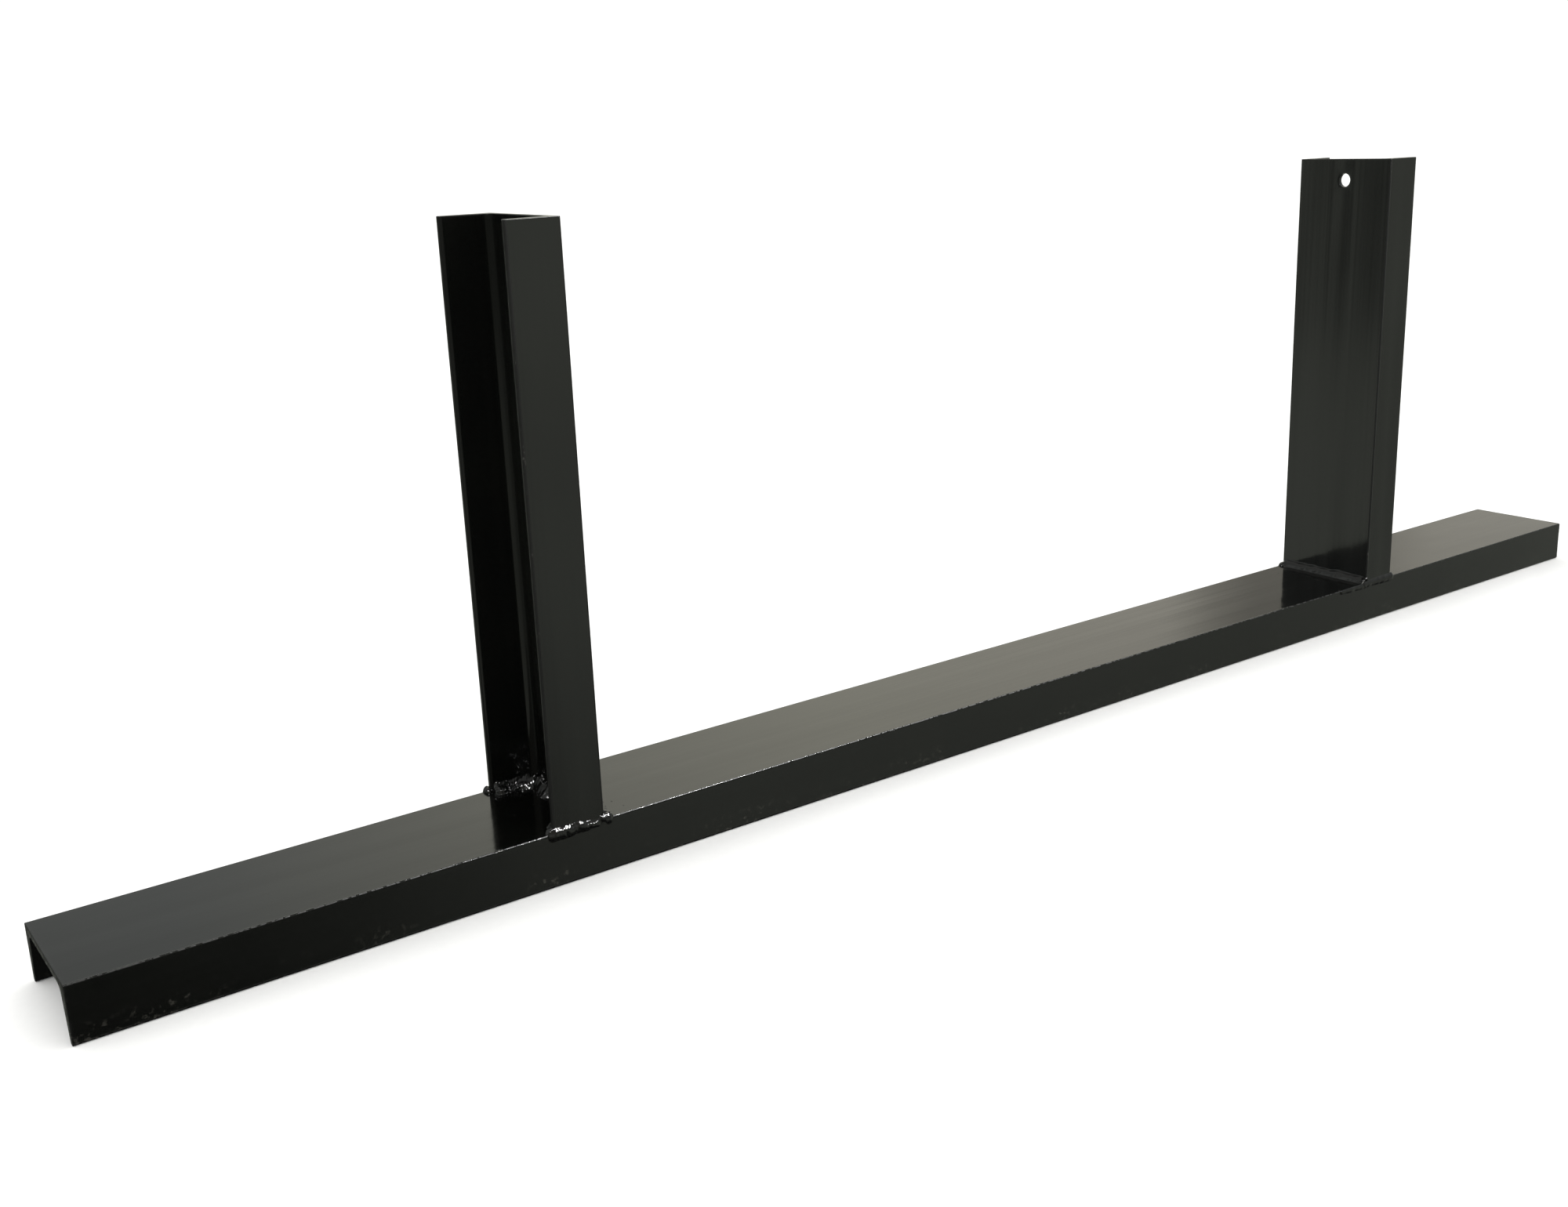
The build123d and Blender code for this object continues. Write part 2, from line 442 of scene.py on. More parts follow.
def channel_outline(steel, width, depth):
    """The rolled C section as one closed loop.

    Gives points and outward normals (n, 2), edge values (n,), and where the hole's square starts on
    each side of the web. The corners of the C are joined by straight lines, and each corner becomes
    an arc of its radius that touches both lines: centre at radius from both, turning through the
    corner's angle. The loop starts in the middle of one toe, follows the inner faces to the other
    toe and returns by the outer faces, with as many points on the way out as back. X is out of the
    web's back and Y across it.
    """
    half = depth / 2
    web = steel.web_thickness
    toe, root = flange_ends(steel, width)
    inner = np.array([
        (width, -half + toe / 2),
        (width, -half + toe),
        (web, -half + root),
        (web, half - root),
        (width, half - toe),
        (width, half - toe / 2),
    ])
    outer = np.array([
        (width, half - toe / 2),
        (width, half),
        (0, half),
        (0, -half),
        (width, -half),
        (width, -half + toe / 2),
    ])
    inner_radii = (steel.toe_inner_radius, steel.root_radius, steel.root_radius, steel.toe_inner_radius)
    outer_radii = (steel.toe_outer_radius, steel.heel_radius, steel.heel_radius, steel.toe_outer_radius)
    # Outer corners get rubbing most, with the most painted highlight specks, the toes' inner corners
    # a little and the roots not at all.
    inner_wear_and_highlight = (0.35, 0.0, 0.0, 0.35)
    outer_wear_and_highlight = (1.0, 1.0, 1.0, 1.0)
    square = np.linspace(-HOLE_SQUARE, HOLE_SQUARE, SQUARE_CELLS + 1)
    arc_steps = np.linspace(0, 1, 9)
    # A point this close to each arc keeps the flat faces shaded flat.
    beside = 0.35 * MM
    points, normals, rub_and_highlight, webs = [], [], [], []
    for path, radii, wear_and_highlight in ((inner, inner_radii, inner_wear_and_highlight), (outer, outer_radii, outer_wear_and_highlight)):
        way = np.diff(path, axis=0)
        reach = np.linalg.norm(way, axis=1)
        way = way / reach[:, None]
        side = np.stack([way[:, 1], -way[:, 0]], axis=1)
        cross = way[:-1, 0] * way[1:, 1] - way[:-1, 1] * way[1:, 0]
        turn = np.arctan2(cross, (way[:-1] * way[1:]).sum(1))
        trim = np.concatenate([[0], np.array(radii) * np.tan(np.abs(turn) / 2), [0]])
        for k in range(5):
            first, last = trim[k], reach[k] - trim[k + 1]
            if k == 2:
                # The web: four points on each side of the hole's square.
                middle = reach[k] / 2
                before = np.linspace(first + beside, middle - HOLE_SQUARE, 5)[1:-1]
                after = np.linspace(middle + HOLE_SQUARE, last - beside, 5)[1:-1]
                places = np.concatenate([
                    [first + beside], before, middle + square, after, [last - beside],
                ])
                webs.append(sum(len(group) for group in points) + 1 + len(before))
            elif k == 0:
                places = np.array([0.0])
            elif k == 4:
                places = np.array([])
            else:
                between = np.linspace(first + beside, last - beside, 8)[1:-1]
                places = np.concatenate([[first + beside], between, [last - beside]])
            points.append(path[k] + places[:, None] * way[k])
            normals.append(np.repeat(side[k][None], len(places), axis=0))
            rub_and_highlight.append(np.zeros(len(places)))
            if k < 4:
                bend = turn[k] * arc_steps
                across = np.stack([-side[k][1] * np.sin(bend), side[k][0] * np.sin(bend)], axis=1)
                spun = side[k][None] * np.cos(bend)[:, None] + across
                hand = 1 if turn[k] > 0 else -1
                centre = path[k] + way[k] * last - hand * side[k] * radii[k]
                points.append(centre + hand * radii[k] * spun)
                normals.append(spun)
                rub_and_highlight.append(np.full(len(bend), wear_and_highlight[k]))
    return np.concatenate(points), np.concatenate(normals), np.concatenate(rub_and_highlight), webs


def channel_sheets(steel, width, depth, length, place, seed, holed):
    """Sheets of one cut length of channel, closed at both ends.

    The section's outline is carried along the length. Near each end it shrinks along its normals by
    e(1 - cos t) while the station comes e(1 - sin t) short of the end, so the sawn edge is rounded by
    the paint. Every point is moved along its normal by the mill wave. A ruled strip from the outer to
    the inner outline closes each end. With a hole, a square block of web faces is left out on each
    face, rings run from the square to the hole's circle, and a rounded wall joins the two circles.
    place turns (out of the web, across it, along the length) into the frame's axes.
    """
    outline, normals, rub_and_highlight, webs = channel_outline(steel, width, depth)
    edge = steel.paint_edge
    bend = np.linspace(0, pi / 2, 5)
    end_run = edge * (1 - np.sin(bend))
    end_in = edge * (1 - np.cos(bend))
    hole_at = length - steel.hole_from_end
    square = np.linspace(hole_at - HOLE_SQUARE, hole_at + HOLE_SQUARE, SQUARE_CELLS + 1)
    # Stations crowd near the sawn ends: 0.8 mm and 2 mm in, then evenly on.
    near_end, inner_end = 0.8 * MM, 2 * MM
    if holed:
        below = np.linspace(inner_end, square[0], 56)[:-1]
        above = np.linspace(square[-1], length - inner_end, 5)[1:]
        inside = np.concatenate([below, square, above])
    else:
        inside = np.linspace(inner_end, length - inner_end, 170)
    stations = np.concatenate([
        end_run[::-1], [near_end], inside, [length - near_end], length - end_run,
    ])
    shrink = np.concatenate([end_in[::-1], np.zeros(len(inside) + 2), end_in])
    flat = outline[None] - normals[None] * shrink[:, None, None]
    along = np.broadcast_to(stations[:, None, None], (*flat.shape[:2], 1))
    solid = np.concatenate([flat, along], axis=2)
    # Slow waves, shorter ones, and flutes that run nearly the whole length.
    wave = steel.mill_wave * (
        unevenness(solid, 260 * MM, seed)
        + 0.3 * unevenness(solid, 60 * MM, seed + 1)
        + 1.1 * unevenness(solid * (1, 1, 0.06), 26 * MM, seed + 2)
    )
    solid[..., :2] += normals[None] * wave[..., None]
    from_end = np.minimum(stations, length - stations)
    # Within 1.2 mm of a sawn end the edge value rises to 1, for rubbing and painted highlight specks.
    end_wear_and_highlight = np.clip(1 - from_end / (1.2 * MM), 0, 1)
    edge_rub = np.maximum(rub_and_highlight[None], end_wear_and_highlight[:, None])
    keep = np.ones((len(stations), len(outline)), bool)
    sheets = []
    if holed:
        row = int(np.argmin(np.abs(stations - square[0])))
        rings = []
        for web in webs:
            keep[row : row + SQUARE_CELLS, web : web + SQUARE_CELLS] = False
            patch = solid[row : row + SQUARE_CELLS + 1, web : web + SQUARE_CELLS + 1]
            rim = np.concatenate([patch[0, :-1], patch[:-1, -1], patch[-1, :0:-1], patch[:0:-1, 0]])
            angle = np.arctan2(rim[:, 2] - hole_at, rim[:, 1])
            order = np.argsort(angle)
            rim, angle = rim[order], angle[order]
            circle = np.stack([np.zeros_like(angle), np.cos(angle), np.sin(angle)], axis=1)
            level = rim[:, :1].mean()
            lip_circle = circle * (steel.hole_radius + edge) + (level, 0, hole_at)
            t = np.linspace(0, 1, 5)[:, None, None] ** 0.8
            rings.append((rim * (1 - t) + lip_circle * t, circle, level))
        (near, near_circle, low), (far, far_circle, high) = sorted(rings, key=lambda ring: ring[2])
        # The lip turns in by a quarter circle of the paint's edge on each side of the web.
        quarter = np.linspace(0, pi / 2, 5)[1:, None, None]
        lip_radius = steel.hole_radius + edge * (1 - np.sin(quarter))
        lip_depth = edge * (1 - np.cos(quarter))
        deep = np.array([1, 0, 0])
        entry = near_circle * lip_radius + deep * (low + lip_depth) + (0, 0, hole_at)
        leaving = far_circle * lip_radius + deep * (high - lip_depth) + (0, 0, hole_at)
        wall = np.concatenate([near, entry, leaving[::-1], far[::-1]])
        sheets.append((place(wall), True, None, None))
    half = len(outline) // 2
    back = np.concatenate([[0], np.arange(len(outline) - 1, half - 1, -1)])
    t = np.linspace(0, 1, 4)[:, None, None]
    for end in (0, -1):
        ring = solid[end]
        strip = ring[None, : half + 1] * (1 - t) + ring[back][None] * t
        # The sawn end faces take 0.6 of the corners' rubbing, dryness and painted highlight specks.
        sheets.append((place(strip), False, 0.6, None))
    sheets.append((place(solid), True, edge_rub, keep))
    return sheets


def rounded_run(length, end):
    """Stations along a weld run, and the share of its full size at each.

    The share is 1 between the ends and follows a half-ellipse of that end length at both ends.
    """
    step = 0.35 * MM
    bend = np.linspace(0, pi / 2, 12)
    cap = end * (1 - np.cos(bend))
    count = max(3, int((length - 2 * end) / step))
    middle = np.linspace(end, length - end, count)[1:-1]
    stations = np.concatenate([cap, middle, length - cap[::-1]])
    near = np.clip(np.minimum(stations, length - stations) / end, 0, 1)
    return stations, np.sqrt(np.clip(1 - (1 - near) ** 2, 0, 1))


def ripple(along, across, spacing, seed):
    """Stacked crescents from -0.5 to 0.5.

    |sin| of the distance along, bent back by the square of the place across (-1 to 1), with uneven
    spacing.
    """
    line = np.stack([along, 0 * along, 0 * along], axis=-1)
    drift = 0.35 * spacing * unevenness(line, 9 * MM, seed)
    return np.abs(np.sin(pi * ((along + drift) / spacing - 0.55 * across**2))) - 0.5


def closed(sheet):
    """A sheet that wraps round its columns, with each end drawn in to one point to shut the pole."""
    sheet = sheet.copy()
    sheet[0] = sheet[0].mean(axis=0)
    sheet[-1] = sheet[-1].mean(axis=0)
    return (sheet, True, None, None)


def bead_sheet(welds, start, way, out, length, lumps, seed, radius, proud):
    """A bead lying on the seam between two flush faces, closed at both ends.

    A circle is carried along the seam with half-round ends. It grows from 0.86 to 1.06 of the bead's
    radius along the run, and with the ripples and lumps. Its line wanders a little up and down. Where
    it meets the faces it flares by exp(-(height/0.7 mm)^2), as melted metal does. start is the first
    end's centre line, way along it and out away from the faces.
    """
    along, share = rounded_run(length, radius)
    around = np.linspace(0, 2 * pi, 56, endpoint=False)
    s, a = np.meshgrid(along, around, indexing="ij")
    share = share[:, None]
    spine = np.stack([s, radius * np.cos(a), radius * np.sin(a)], axis=-1)
    coarse = unevenness(spine, 10 * MM, seed)
    small = unevenness(spine, 4.5 * MM, seed + 1)
    swell = np.minimum(lumps * (0.9 * coarse + 0.25 * small), 0.4 * MM)
    roughness = min(1, lumps / welds.left_lumps) ** 2
    crescents = ripple(s, np.sin(a) * 0.9, welds.ripple_spacing, seed + 2)
    rings = 0.4 * roughness * welds.ripple_depth * crescents
    size = (radius * (0.86 + 0.2 * s / length) + swell + rings) * share
    level = size * np.cos(a)
    height = level - (radius - proud)
    flare = 1 + 0.13 * np.exp(-((height / (0.7 * MM)) ** 2)) * share
    wander = 0.5 * lumps * unevenness(spine * (1, 0, 0), 22 * MM, seed + 3)
    lift = size * np.sin(a) * flare + wander * share
    return closed(start + s[..., None] * way + level[..., None] * out + lift[..., None] * UP)


def fillet_sheet(welds, start, way, out, length, height, reach, lumps, seed):
    """A fillet in the corner between an upright face and the base's top, closed at both ends.

    Across the run, u goes from the toe on the upright (0) to the toe on the base (1): the face is the
    chord from (0, height) to (reach, 0), pushed out by bulge sin(pi u) plus ripples and lumps, and
    both coordinates are softened near 0 by k log(1 + exp(x / k)), which feathers the toes into the
    steel. The back of the section runs through the corner, inside the steel. start is the corner at
    the first end, way along it and out over the base.
    """
    along, share = rounded_run(length, 4 * MM)
    u = np.linspace(-0.14, 1.14, 40)
    s, across = np.meshgrid(along, u, indexing="ij")
    share = share[:, None]
    hump = np.sin(pi * np.clip(across, 0, 1))
    spine = np.stack([s, reach * across, height * (1 - across)], axis=-1)
    legs = 1 + 0.35 * (lumps / MM) * unevenness(spine * (1, 0.25, 0.25), 13 * MM, seed)
    coarse = unevenness(spine, 8.5 * MM, seed + 1)
    small = unevenness(spine, 3.6 * MM, seed + 2)
    push = hump * (welds.bulge + lumps * 0.9 * coarse + 0.16 * lumps * small)
    crescents = ripple(s, 2 * across - 1, welds.ripple_spacing, seed + 3)
    roughness = min(1, lumps / welds.left_lumps)
    push = push + 0.7 * roughness * hump**0.5 * welds.ripple_depth * crescents
    push, legs = push * share, legs * share
    chord = hypot(height, reach)
    rise = height * (1 - across) * legs + push * reach / chord
    spread = reach * across * legs + push * height / chord
    # The toes feather out over 0.45 mm and end 0.1 mm inside the steel.
    soft, sink = 0.45 * MM, 0.1 * MM
    shut = np.minimum(1, share * 4)
    rise = soft * np.logaddexp(0, rise / soft) * shut - sink
    spread = soft * np.logaddexp(0, spread / soft) * shut - sink
    face = start + s[..., None] * way + spread[..., None] * out + rise[..., None] * UP
    deep = 1.2 * MM * share
    t = np.linspace(1, 0, 5)[None, :]
    line = start + along[:, None, None] * way
    buried = (-deep + 0 * t)[..., None]
    under = (spread[:, -1:] * t - deep * (1 - t))[..., None]
    behind = (-deep * t + rise[:, :1] * (1 - t))[..., None]
    floor_back = line + under * out + buried * UP
    wall_back = line + buried * out + behind * UP
    return closed(np.concatenate([face, floor_back, wall_back[:, 1:]], axis=1))


def upright_place(side):
    """Turns (out of the web, across, up from the base) into the frame's axes for one upright."""

    def place(points):
        out, across, above = points[..., 0], points[..., 1], points[..., 2]
        return np.stack([side * (WEB_X + out), across, BASE_TOP + above], axis=-1)

    return place


def base_place(points):
    """Turns (down from the web, across, along from the left end) into the frame's axes."""
    down, across, along = points[..., 0], points[..., 1], points[..., 2]
    return np.stack([BASE_LOW.x + along, across, BASE_TOP - down], axis=-1)


# ---------------------------------------------------------------- operators

class FLOORFRAME_OT_base(bpy.types.Operator):
    """Make the long base channel, web up and flanges down to the floor"""

    bl_idname = "floor_frame.make_base"
    bl_label = "Base channel"

    def execute(self, context):
        steel = context.scene.floor_frame_steel
        size = BASE_HIGH - BASE_LOW
        sheets = channel_sheets(steel, size.z, size.y, size.x, base_place, 11, False)
        paint = gloss_enamel("Gloss_black_enamel_on_rolled_base", 0)
        put_piece("base_channel_painted", sheets, paint, ["base_channel"])
        return {"FINISHED"}


class FLOORFRAME_OT_uprights(bpy.types.Operator):
    """Make the two upright channels, webs facing each other, with a bolt hole near each top"""

    bl_idname = "floor_frame.make_uprights"
    bl_label = "Uprights"

    def execute(self, context):
        steel = context.scene.floor_frame_steel
        size = LEFT_HIGH - LEFT_LOW
        paint = gloss_enamel("Gloss_black_enamel_on_rolled_uprights", 2)
        for name, side in SIDES:
            place = upright_place(side)
            sheets = channel_sheets(steel, size.x, size.y, size.z, place, 31 + side, True)
            node = f"{name}_upright"
            put_piece(f"{node}_painted", sheets, paint, [node])
        return {"FINISHED"}


class FLOORFRAME_OT_flange_beads(bpy.types.Operator):
    """Make the four beads over the flush outer faces of the flanges"""

    bl_idname = "floor_frame.make_flange_beads"
    bl_label = "Flange beads"

    def execute(self, context):
        welds = context.scene.floor_frame_welds
        radius, proud = welds.bead_radius, welds.bead_proud
        length = BEAD_HIGH.x - BEAD_LOW.x
        first = abs(BEAD_HIGH.x)
        for name, side in SIDES:
            lumps = welds.left_lumps if side < 0 else welds.right_lumps
            way = np.array([side, 0, 0])
            for face, front in FACES:
                out = np.array([0, front, 0])
                across = front * (HALF_DEPTH + proud - radius)
                start = np.array([side * first, across, BASE_TOP - welds.bead_drop])
                seed = 50 + 10 * side + front
                sheets = [bead_sheet(welds, start, way, out, length, lumps, seed, radius, proud)]
                if (side, front) == (1, -1):
                    # This bead was carried on along the base's edge, towards the middle, and let fade.
                    tail = np.array([
                        WEB_X - 43 * MM, front * (HALF_DEPTH - 1.4 * MM), BASE_TOP - 1.9 * MM,
                    ])
                    sheets.append(bead_sheet(
                        welds, tail, way, out, 44 * MM, lumps, 83, radius=2.9 * MM, proud=1.2 * MM,
                    ))
                node = f"{name}_{face}_flange_weld"
                put_piece(f"{name}_{face}_flange_bead", sheets, weld_enamel(), [node])
        return {"FINISHED"}


class FLOORFRAME_OT_inner_fillets(bpy.types.Operator):
    """Make the fillets inside each upright's channel, along both flanges and the web"""

    bl_idname = "floor_frame.make_inner_fillets"
    bl_label = "Inner fillets"

    def execute(self, context):
        welds, steel = context.scene.floor_frame_welds, context.scene.floor_frame_steel
        height, reach, setback = welds.inner_height, welds.inner_reach, welds.inner_setback
        toe, root = flange_ends(steel, FLANGE_WIDTH)
        slope = steel.flange_slope
        lean = atan(slope)
        # Each flange's run goes 1 mm into the web, and the web's run 1 mm into each flange.
        overrun = 1 * MM
        flange_run = (FLANGE_WIDTH - steel.web_thickness - setback) / cos(lean) + overrun
        web_half = HALF_DEPTH - root + overrun
        for name, side in SIDES:
            for face, front in FACES:
                # Of the four flange runs only the left rear one is rough.
                lumps = welds.left_lumps if (side, front) == (-1, 1) else welds.right_lumps
                across = front * (HALF_DEPTH - toe - slope * setback)
                start = np.array([side * (WEB_X + FLANGE_WIDTH - setback), across, BASE_TOP])
                way = np.array([-side * cos(lean), -front * sin(lean), 0])
                out = np.array([side * sin(lean), -front * cos(lean), 0])
                seed = 70 + 10 * side + front
                sheet = fillet_sheet(welds, start, way, out, flange_run, height, reach, lumps, seed)
                node = f"{name}_{face}_inner_weld"
                put_piece(f"{name}_{face}_inner_fillet", [sheet], weld_enamel(), [node])
            lumps = welds.left_lumps if side < 0 else welds.right_lumps
            start = np.array([side * (WEB_X + steel.web_thickness), -web_half, BASE_TOP])
            way, out = np.array([0, 1, 0]), np.array([side, 0, 0])
            sheet = fillet_sheet(welds, start, way, out, 2 * web_half, height, reach, lumps, 90 + side)
            node = f"{name}_web_inner_weld"
            put_piece(f"{name}_web_inner_fillet", [sheet], weld_enamel(), [node])
        return {"FINISHED"}


class FLOORFRAME_OT_web_fillets(bpy.types.Operator):
    """Make the fillet along the outer face of each upright's web"""

    bl_idname = "floor_frame.make_web_fillets"
    bl_label = "Web fillets"

    def execute(self, context):
        welds = context.scene.floor_frame_welds
        leg, lumps = welds.web_leg, welds.right_lumps
        reached = HALF_DEPTH - 0.5 * MM
        for name, side in SIDES:
            start = np.array([side * WEB_X, -reached, BASE_TOP])
            way, out = np.array([0, 1, 0]), np.array([-side, 0, 0])
            sheet = fillet_sheet(welds, start, way, out, 2 * reached, leg, leg, lumps, 110 + side)
            node = f"{name}_web_outer_weld"
            put_piece(f"{name}_web_outer_fillet", [sheet], weld_enamel(), [node])
        return {"FINISHED"}


class FLOORFRAME_OT_spatter(bpy.types.Operator):
    """Make the weld spatter stuck to the base round each foot, under the paint"""

    bl_idname = "floor_frame.make_spatter"
    bl_label = "Weld spatter"

    def execute(self, context):
        count = 26
        theta = np.linspace(0, pi, 7)[:, None]
        phi = np.linspace(0, 2 * pi, 10, endpoint=False)[None]
        # A flattened ball: sin(theta) round it, 0.6 cos(theta) high.
        ball = np.stack([
            np.sin(theta) * np.cos(phi), np.sin(theta) * np.sin(phi), 0.6 * np.cos(theta) + 0 * phi,
        ], axis=-1)
        for name, side in SIDES:
            chance = np.random.default_rng(7 + side)
            size = chance.uniform(0.25, 0.7, count) * MM
            inside = chance.random(count) < 0.5
            inwards = chance.uniform(9, 34, count)
            outwards = chance.uniform(16, 52, count)
            x = side * (WEB_X + np.where(inside, -inwards, outwards) * MM)
            y = chance.uniform(-0.85, 0.85, count) * HALF_DEPTH
            z = np.full(count, BASE_TOP)
            # The first four are drops left where the web's fillet ends at the front corner. On the
            # left they are half the size.
            share = 1 if side > 0 else 0.5
            size[:4] = np.array([2.2, 1.9, 1.6, 1.4]) * share * MM
            x[:4] = side * (WEB_X - np.array([1.4, 4.4, -1.0, 2.8]) * MM)
            y[:4] = -HALF_DEPTH + np.array([0.0, 0.4, -0.4, 2.4]) * MM
            z[:4] += np.array([5.0, 3.6, 3.8, 6.0]) * MM
            middles = np.stack([x, y, z], axis=-1)
            drops = middles[:, None, None] + size[:, None, None, None] * ball[None]
            sheets = [(drop, True, None, None) for drop in drops]
            put_piece(f"{name}_weld_spatter", sheets, weld_enamel(), [])
        return {"FINISHED"}


def paper_floor(scene, studio):
    """A wide floor of seamless matt paper, which gloss reflections pass by.

    The paper has no gloss and the faint mottle of its fibres, 6 mm across.
    """
    paper, tree, shader, place = new_material("Matt_white_seamless_paper")
    fibres = add_node(tree, "TexNoise", None, {"Vector": place, "Scale": 1 / (6 * MM), "Detail": 3})
    mottle = add_node(tree, "Mix", COLOURS, {
        0: fibres, 6: (*studio.floor, 1), 7: (*linear("F8F8F6"), 1),
    })
    tree.links.new(mottle.outputs[2], shader.inputs["Base Color"])
    shader.inputs["Roughness"].default_value = 1
    shader.inputs["Specular IOR Level"].default_value = 0
    # 80 m wide, in 9 by 9 points, just under the flange toes.
    count = 9
    grid = np.linspace(-40, 40, count)
    x, y = np.meshgrid(grid, grid, indexing="ij")
    corners = np.stack([x, y, 0 * x - 0.1 * MM], axis=-1).reshape(-1, 3)
    index = np.arange(count * count).reshape(count, count)
    quads = np.stack([index[:-1, :-1], index[1:, :-1], index[1:, 1:], index[:-1, 1:]], axis=-1)
    mesh = bpy.data.meshes.new("paper_floor")
    mesh.from_pydata(corners.tolist(), [], quads.reshape(-1, 4).tolist())
    mesh.materials.append(paper)
    floor = bpy.data.objects.new("paper_floor", mesh)
    scene.collection.objects.link(floor)
    floor.visible_glossy = False


def room_light(scene, studio):
    """The room round the frame.

    It is white paper to the camera and even light to matt surfaces. To the gloss paint it is a room
    of plain walls: bright behind the frame and to the right, darker in front, and dim underfoot.
    """
    world = bpy.data.worlds.new("Studio_room")
    scene.world = world
    world.use_nodes = True
    tree = world.node_tree
    tree.nodes.clear()
    direction = add_node(tree, "TexCoord").outputs["Generated"]
    facing = add_node(tree, "SeparateXYZ", None, {0: direction})
    turn = add_node(tree, "Math", {"operation": "ARCTAN2"}, {0: facing.outputs[0], 1: facing.outputs[1]})
    heading = add_node(tree, "MapRange", None, {"Value": turn, "From Min": -pi, "From Max": pi})
    height = add_node(tree, "Math", {"operation": "ARCSINE"}, {0: facing.outputs[2]})

    def wall(tint, *stops):
        """One ramp of (heading, brightness), in degrees from straight ahead with right positive.

        A stop may end with its own tint.
        """
        marks = []
        for degrees, bright, *own in stops:
            colour = tuple(bright * part for part in (own[0] if own else tint))
            marks.append((0.5 + degrees / 360, colour))
        return add_node(tree, "ValToRGB", {"stops": marks}, {0: heading}).outputs[0]

    warm, cool, green = (1.04, 1.0, 0.87), (0.96, 1.0, 0.96), (0.95, 1.0, 0.87)
    high = wall(
        warm, (-180, 0.3), (-120, 0.35), (-75, 0.35, cool), (-58, 0.3, cool), (-55, 0.4, cool),
        (-51, 0.8, cool), (-42, 0.7, cool), (-32, 0.4, cool), (0, 0.46, cool), (13, 0.56, cool),
        (24, 0.85, (1, 1, 0.87)), (37, 1.07, (1.02, 1, 0.85)), (48, 0.97), (49.4, 0.94),
        (51.2, 0.38), (55.4, 0.38), (56.8, 0.78), (90, 0.7, cool), (130, 0.4, cool), (180, 0.3),
    )
    sill = wall(
        green, (-180, 0.12), (-150, 0.1), (-80, 0.1), (-61, 0.12), (-56, 0.2), (-51, 0.68),
        (-45, 0.4), (-36, 0.12), (-27, 0.06), (-6, 0.15), (8, 0.8), (30, 1.1), (60, 0.8),
        (100, 0.55), (125, 0.38), (153, 0.66), (170, 0.28), (180, 0.12),
    )
    level = wall(
        green, (-180, 0.12), (-150, 0.25), (-125, 0.25), (-95, 0.12), (-80, 0.12), (-62, 0.45),
        (-54, 0.66), (-50, 0.75), (-44, 0.5), (-36, 0.12), (-27, 0.06), (-6, 0.13), (8, 0.8),
        (30, 1.1), (60, 0.8), (100, 0.5), (125, 0.34), (140, 0.42), (153, 0.56), (170, 0.25),
        (180, 0.1),
    )
    low = wall(
        green, (-180, 0.02), (-168, 0.1), (-160, 0.4), (-125, 0.4), (-95, 0.12), (-80, 0.12),
        (-62, 0.5), (-55, 0.82), (-50, 1.0), (-44, 0.7), (-36, 0.12), (-27, 0.05), (-5, 0.12),
        (8, 0.6), (30, 1.0), (60, 0.7), (100, 0.36), (118, 0.26), (135, 0.34), (150, 0.36),
        (157, 0.22), (162, 0.1), (168, 0.02), (180, 0.02),
    )
    # From straight down to straight up, each layer takes over from the last between two heights.
    room = (0.03, 0.03, 0.03, 1)
    roof = (0.48, 0.48, 0.46, 1)
    for layer, begins, takes_over in (
        (low, -40, -29), (level, -25, -15), (sill, -10, -5), (high, 0, 12), (roof, 32, 60),
    ):
        share = add_node(tree, "MapRange", SMOOTH, {
            "Value": height, "From Min": radians(begins), "From Max": radians(takes_over),
        })
        mixed = add_node(tree, "Mix", COLOURS, {0: share, 6: room, 7: layer})
        room = mixed.outputs[2]

    # A camera ray sees white a little over 1, so that the background never turns grey.
    seen = add_node(tree, "LightPath")
    gloss_light = add_node(tree, "Background", None, {0: room, 1: 1})
    matt_light = add_node(tree, "Background", None, {0: (1, 1, 1, 1), 1: studio.paper_light})
    white = add_node(tree, "Background", None, {0: (1, 1, 1, 1), 1: 1.05})
    lit = add_node(tree, "MixShader", None, {
        0: seen.outputs["Is Diffuse Ray"], 1: gloss_light, 2: matt_light,
    })
    shown = add_node(tree, "MixShader", None, {0: seen.outputs["Is Camera Ray"], 1: lit, 2: white})
    add_node(tree, "OutputWorld", None, {0: shown})


def overhead_lamps(scene, studio):
    """Small soft lamps high up, which only curved metal throws back to the camera."""
    for name, spot, size, share in (
        ("lamp_right_overhead", (0.88, -0.85, 2.0), 0.26, 1.7),
        ("lamp_left_overhead", (-1.9, -1.3, 2.6), 0.3, 1.5),
        ("lamp_middle_overhead", (0.5, -1.3, 1.7), 0.12, 0.7),
    ):
        lamp = bpy.data.lights.new(name, "AREA")
        lamp.size = size
        lamp.energy = studio.spark_light * share
        holder = bpy.data.objects.new(name, lamp)
        scene.collection.objects.link(holder)
        holder.location = spot
        holder.rotation_euler = (-Vector(spot)).to_track_quat("-Z", "Y").to_euler()
        holder.visible_camera = False
        holder.visible_diffuse = False


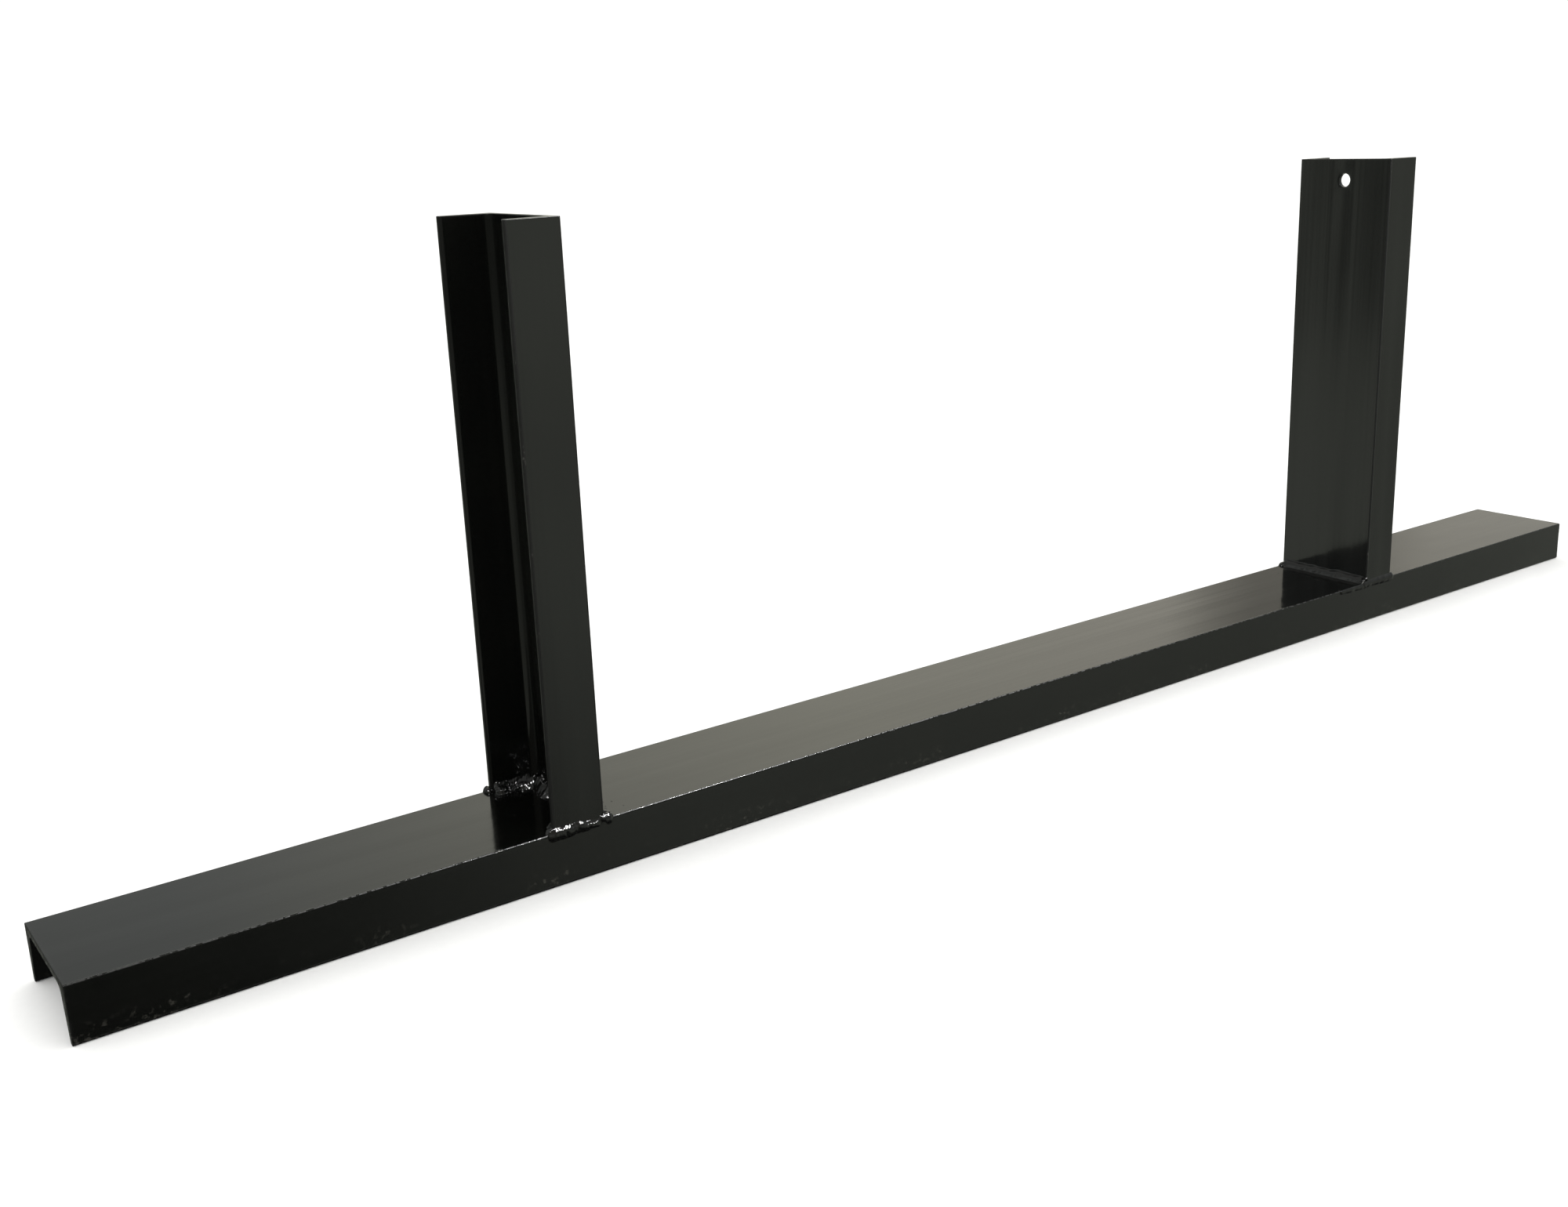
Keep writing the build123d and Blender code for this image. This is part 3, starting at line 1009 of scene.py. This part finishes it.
class FLOORFRAME_OT_stage(bpy.types.Operator):
    """Set the pale paper floor, the room's light, the lamps and the camera"""

    bl_idname = "floor_frame.set_stage"
    bl_label = "Studio"

    def execute(self, context):
        scene, studio = context.scene, context.scene.floor_frame_studio
        scene.view_settings.view_transform = "Standard"
        paper_floor(scene, studio)
        room_light(scene, studio)
        overhead_lamps(scene, studio)
        camera = bpy.data.cameras.new("studio_camera")
        camera.lens = studio.camera_lens
        camera.sensor_width = 36
        camera.shift_x, camera.shift_y = studio.camera_shift
        camera.clip_end = 200
        stand = bpy.data.objects.new("studio_camera", camera)
        stand.location = studio.camera_place
        stand.rotation_euler = studio.camera_turn
        scene.collection.objects.link(stand)
        scene.camera = stand
        return {"FINISHED"}


class FLOORFRAME_PT_panel(bpy.types.Panel):
    """Lists the pieces of the floor frame and its studio"""

    bl_label = "Floor Frame"
    bl_idname = "FLOORFRAME_PT_panel"
    bl_space_type = "VIEW_3D"
    bl_region_type = "UI"
    bl_category = "Floor Frame"

    def draw(self, context):
        for operator in OPERATORS:
            self.layout.operator(operator.bl_idname)


GROUPS = (
    ("floor_frame_steel", FloorFrameSteel),
    ("floor_frame_welds", FloorFrameWelds),
    ("floor_frame_finish", FloorFrameFinish),
    ("floor_frame_studio", FloorFrameStudio),
)
OPERATORS = (
    FLOORFRAME_OT_base,
    FLOORFRAME_OT_uprights,
    FLOORFRAME_OT_flange_beads,
    FLOORFRAME_OT_inner_fillets,
    FLOORFRAME_OT_web_fillets,
    FLOORFRAME_OT_spatter,
    FLOORFRAME_OT_stage,
)


def register():
    for name, group in GROUPS:
        bpy.utils.register_class(group)
        setattr(bpy.types.Scene, name, PointerProperty(type=group))
    for kind in (*OPERATORS, FLOORFRAME_PT_panel):
        bpy.utils.register_class(kind)


def unregister():
    for kind in reversed((*OPERATORS, FLOORFRAME_PT_panel)):
        bpy.utils.unregister_class(kind)
    for name, group in reversed(GROUPS):
        delattr(bpy.types.Scene, name)
        bpy.utils.unregister_class(group)


def main():
    """Register the add-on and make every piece."""
    register()
    bpy.ops.floor_frame.make_base()
    bpy.ops.floor_frame.make_uprights()
    bpy.ops.floor_frame.make_flange_beads()
    bpy.ops.floor_frame.make_inner_fillets()
    bpy.ops.floor_frame.make_web_fillets()
    bpy.ops.floor_frame.make_spatter()
    bpy.ops.floor_frame.set_stage()


if __name__ == "__main__":
    main()
